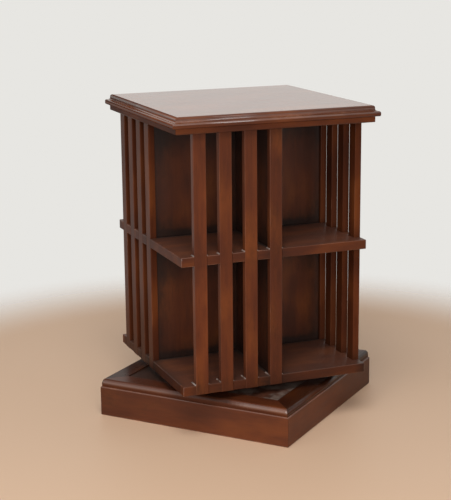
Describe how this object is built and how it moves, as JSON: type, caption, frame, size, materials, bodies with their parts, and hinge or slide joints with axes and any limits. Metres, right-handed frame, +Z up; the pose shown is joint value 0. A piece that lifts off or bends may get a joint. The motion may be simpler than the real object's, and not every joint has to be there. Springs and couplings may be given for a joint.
{
  "type": "revolving bookcase",
  "caption": "Square slatted bookcase with open bays, a middle shelf and a moulded top, which spins on a flat ball-bearing turntable above a low moulded base.",
  "frame": {"origin": "middle of the base on the floor, on the spin axis", "axes": "+Z up along the spin axis; the case's sides lie along X and Y with its front towards -Y, and the base is turned 41 degrees about Z under it"},
  "size_m": [0.6734, 0.6734, 0.7176],
  "materials": {
    "mahogany": "satin-gloss lacquer over a dark red-brown stain",
    "panel_wood": "dark satin stain",
    "raw_wood": "sawn and unfinished",
    "steel": "zinc-plated"
  },
  "bodies": {
    "base": {"plinth_front": "mahogany", "plinth_right": "mahogany", "plinth_back": "mahogany", "plinth_left": "mahogany", "corner_block_1": "raw_wood", "corner_block_2": "raw_wood", "corner_block_3": "raw_wood", "corner_block_4": "raw_wood", "base_bearer_left": "raw_wood", "base_bearer_right": "raw_wood", "base_rail_front": "mahogany", "base_rail_right": "mahogany", "base_rail_back": "mahogany", "base_rail_left": "mahogany", "base_panel": "panel_wood", "bearing_lower_plate": "steel", "lower_plate_screw_1": "steel", "lower_plate_screw_2": "steel", "lower_plate_screw_3": "steel", "lower_plate_screw_4": "steel", "pivot_rivet": "steel"},
    "ball_cage": {"ball_cage": "steel"},
    "case": {"bearing_upper_plate": "steel", "upper_plate_screw_1": "steel", "upper_plate_screw_2": "steel", "upper_plate_screw_3": "steel", "upper_plate_screw_4": "steel", "turntable_block": "mahogany", "bottom_board": "mahogany", "middle_shelf": "mahogany", "sub_top": "mahogany", "top_board": "mahogany", "frieze_front": "mahogany", "frieze_right": "mahogany", "frieze_back": "mahogany", "frieze_left": "mahogany", "partition_lower_long": "mahogany", "partition_lower_front": "mahogany", "partition_lower_back": "mahogany", "partition_upper_long": "mahogany", "partition_upper_front": "mahogany", "partition_upper_back": "mahogany", "slat_front_1": "mahogany", "slat_front_2": "mahogany", "slat_front_3": "mahogany", "slat_front_4": "mahogany", "slat_right_1": "mahogany", "slat_right_2": "mahogany", "slat_right_3": "mahogany", "slat_right_4": "mahogany", "slat_back_1": "mahogany", "slat_back_2": "mahogany", "slat_back_3": "mahogany", "slat_back_4": "mahogany", "slat_left_1": "mahogany", "slat_left_2": "mahogany", "slat_left_3": "mahogany", "slat_left_4": "mahogany"}
  },
  "joints": [
    {"name": "case_spin", "type": "hinge", "parent": "base", "child": "case", "pos_m": [0, 0, 0.0904], "axis": [0, 0, 1], "continuous": true},
    {"name": "ball_cage_spin", "type": "hinge", "parent": "base", "child": "ball_cage", "pos_m": [0, 0, 0.0904], "axis": [0, 0, 1], "continuous": true}
  ],
  "couplings": [
    {"joint": "ball_cage_spin", "follows": "case_spin", "ratio": 0.5}
  ]
}
